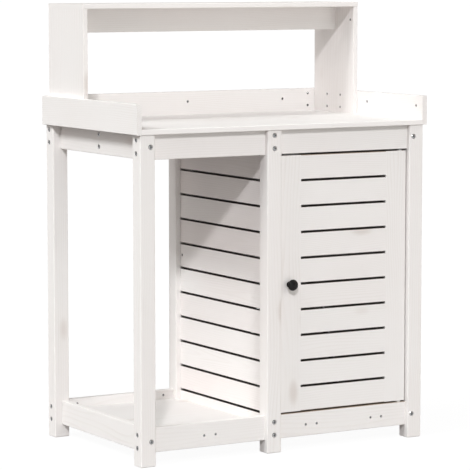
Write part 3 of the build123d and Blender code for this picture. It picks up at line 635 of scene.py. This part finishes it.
# ---------------------------------------------------------------- screws
def separate_solids(node):
    """The points of each separate solid in a node of screws, always in the same order."""
    shape = bmesh.new()
    shape.from_mesh(frame["nodes"][node].data)
    bmesh.ops.remove_doubles(shape, verts=shape.verts, dist=WELD)
    waiting = set(shape.verts)
    found = []
    while waiting:
        group = [waiting.pop()]
        for vert in group:
            for edge in vert.link_edges:
                other = edge.other_vert(vert)
                if other in waiting:
                    waiting.remove(other)
                    group.append(other)
        points = [vert.co.copy() for vert in group]
        low = Vector([min(point[axis] for point in points) for axis in range(3)])
        high = Vector([max(point[axis] for point in points) for axis in range(3)])
        found.append((low, high, points))
    shape.free()
    return sorted(found, key=lambda solid: tuple(solid[0]))


def screw_places(node):
    """Where each screw of a node starts, its direction, its length and its head's radius."""
    for low, high, points in separate_solids(node):
        size = high - low
        along = max(range(3), key=lambda axis: size[axis])
        across = [axis for axis in range(3) if axis != along]
        start = (low + high) / 2
        radius = max(size[axis] for axis in across) / 2
        head_points = [
            point[along] for point in points
            if math.hypot(*(point[axis] - start[axis] for axis in across)) > radius * RIM_SHARE
        ]
        head_is_low = sum(head_points) / len(head_points) < start[along]
        direction = Vector((0.0, 0.0, 0.0))
        direction[along] = 1.0 if head_is_low else -1.0
        start[along] = low[along] if head_is_low else high[along]
        yield start, direction, size[along], radius


def ring_of_points(shape, depth, radius_at):
    """Points round the Z axis at one depth, at a radius that may change with the angle."""
    ring = []
    for step in range(SCREW_SIDES):
        angle = math.tau * step / SCREW_SIDES
        radius = radius_at(angle)
        ring.append(shape.verts.new((radius * math.cos(angle), radius * math.sin(angle), depth)))
    return ring


def screw_template(name, length, head, form):
    """A screw along +Z with a domed head, a thread and a blunt point. The plain head's top is at 0."""
    head_height, dome, shank_share = form
    shank = head * shank_share
    shape = bmesh.new()
    loops = []
    for step in range(1, DOME_STEPS + 1):
        angle = math.pi / 2 * step / DOME_STEPS
        depth = -dome + dome * (1 - RIM_LIFT) * (1 - math.cos(angle))
        radius = head * math.sin(angle)
        loops.append(ring_of_points(shape, depth, lambda _: radius))
    loops.append(ring_of_points(shape, head_height, lambda _: head))
    loops.append(ring_of_points(shape, head_height, lambda _: shank))

    turns = (length - head_height) / (shank * THREAD_PITCH)
    rings = int(turns * RINGS_PER_TURN)
    for ring in range(1, rings + 1):
        share = ring / rings
        taper = 1.0 - max(0.0, (share - POINT_START) / (1.0 - POINT_START)) * POINT_TAPER

        def thread(angle):
            ridge = max(0.0, math.cos(angle - math.tau * turns * share))
            return shank * taper * (1.0 - THREAD_DEPTH * (1.0 - ridge))

        loops.append(ring_of_points(shape, head_height + (length - head_height) * share, thread))
    return skin(name, shape, loops)


def with_recess(mesh, head, form):
    """The template with a cross cut into its head."""
    head_height, dome, _ = form
    depth = (dome + head_height * CROSS_FLOOR) * 2
    long_side = head * CROSS_LENGTH
    short_side = head * CROSS_WIDTH
    cutter = bmesh.new()
    for sides in ((long_side, short_side), (short_side, long_side)):
        made = bmesh.ops.create_cube(cutter, size=1.0)
        bmesh.ops.scale(cutter, verts=made["verts"], vec=(*sides, depth))
        bmesh.ops.translate(cutter, verts=made["verts"], vec=(0.0, 0.0, -dome))
    cutter_mesh = bpy.data.meshes.new("cross")
    cutter.to_mesh(cutter_mesh)
    cutter.free()
    body = put_in_scene("template", mesh)
    cross = put_in_scene("cross", cutter_mesh)
    cut = body.modifiers.new("cut", "BOOLEAN")
    cut.operation = "DIFFERENCE"
    cut.solver = "EXACT"
    cut.use_self = True
    cut.object = cross
    ready = body.evaluated_get(bpy.context.evaluated_depsgraph_get())
    result = bpy.data.meshes.new_from_object(ready)
    bpy.data.objects.remove(body)
    bpy.data.objects.remove(cross)
    return result


def make_screws(node, piece, form, material):
    """Replaces a node of plain screws by screws with domed, recessed heads and threads."""
    joined = bmesh.new()
    templates = {}
    for start, direction, length, head in screw_places(node):
        key = round(length * MILLIMETRES)
        if key not in templates:
            plain = screw_template(f"{piece}_{key}", length, head, form)
            templates[key] = with_recess(plain, head, form)
        turn = direction.to_track_quat("Z", "Y").to_matrix().to_4x4()
        spin = Matrix.Rotation(RANDOM.uniform(0.0, math.pi), 4, "Z")
        placed = templates[key].copy()
        placed.transform(Matrix.Translation(start) @ turn @ spin)
        joined.from_mesh(placed)
    mesh = bpy.data.meshes.new(piece)
    joined.to_mesh(mesh)
    joined.free()
    mesh.materials.append(material)
    screws = put_in_scene(piece, mesh)
    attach(screws, "bench")
    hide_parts(node)


# ---------------------------------------------------------------- studio
def make_floor():
    """A wide floor that neither lights nor shades the bench: the sky's lower half lights it."""
    half = FLOOR_WIDTH / 2
    mesh = bpy.data.meshes.new("studio_floor")
    corners = [(-half, -half, 0.0), (half, -half, 0.0), (half, half, 0.0), (-half, half, 0.0)]
    mesh.from_pydata(corners, [], [(0, 1, 2, 3)])
    mesh.materials.append(studio_floor("studio_floor"))
    floor = put_in_scene("studio_floor", mesh)
    floor.visible_diffuse = False
    floor.visible_shadow = False
    floor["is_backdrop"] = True


def make_sky():
    """White to the camera. To the bench, a faint light that is stronger from below than above."""
    world = bpy.data.worlds.new("studio")
    bpy.context.scene.world = world
    world.use_nodes = True
    tree = world.node_tree
    light = tree.nodes["Background"]
    white = tree.nodes.new("ShaderNodeBackground")
    place = tree.nodes.new("ShaderNodeTexCoord")
    split = tree.nodes.new("ShaderNodeSeparateXYZ")
    height = tree.nodes.new("ShaderNodeMapRange")
    height.inputs["From Min"].default_value = -HORIZON_BLUR
    height.inputs["From Max"].default_value = HORIZON_BLUR
    height.inputs["To Min"].default_value = GROUND_STRENGTH
    height.inputs["To Max"].default_value = SKY_STRENGTH
    rays = tree.nodes.new("ShaderNodeLightPath")
    blend = tree.nodes.new("ShaderNodeMixShader")
    tree.links.new(place.outputs["Generated"], split.inputs[0])
    tree.links.new(split.outputs[Z], height.inputs["Value"])
    tree.links.new(height.outputs["Result"], light.inputs["Strength"])
    light.inputs["Color"].default_value = (*SKY_COLOUR, 1.0)
    white.inputs["Color"].default_value = (1.0, 1.0, 1.0, 1.0)
    tree.links.new(rays.outputs["Is Camera Ray"], blend.inputs[0])
    tree.links.new(light.outputs[0], blend.inputs[1])
    tree.links.new(white.outputs[0], blend.inputs[2])
    tree.links.new(blend.outputs[0], tree.nodes["World Output"].inputs["Surface"])


def make_lamps():
    for name, travel, width, strength, colour in DISTANT_LAMPS:
        light = bpy.data.lights.new(name, "SUN")
        light.energy = strength
        light.color = colour
        light.angle = math.radians(width)
        lamp = put_in_scene(name, light)
        lamp.rotation_mode = "QUATERNION"
        lamp.rotation_quaternion = Vector(travel).to_track_quat("-Z", "Y")


def make_camera():
    camera = bpy.data.cameras.new("camera")
    camera.lens = CAMERA_LENS
    camera.sensor_width = SENSOR_WIDTH
    camera.clip_end = CAMERA_REACH
    holder = put_in_scene("camera", camera)
    holder.location = CAMERA_PLACE
    tilt = math.radians(CAMERA_LEVEL + CAMERA_PITCH)
    holder.rotation_euler = (tilt, 0.0, math.radians(-CAMERA_HEADING))
    bpy.context.scene.camera = holder


bpy.context.scene.view_settings.view_transform = "Standard"
plain_finishes = dress_nodes()
make_knob(plain_finishes["black_knob"])
make_screws("frame_screws", "leg_screws", FRAME_SCREW_FORM, plain_finishes["zinc_steel"])
make_screws("board_screws", "small_screws", BOARD_SCREW_FORM, plain_finishes["zinc_steel"])
make_floor()
make_sky()
make_lamps()
make_camera()

boxes = {"cad": CAD_BOX, "visual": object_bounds()}
{name: [list(corner) for corner in box] for name, box in boxes.items()}
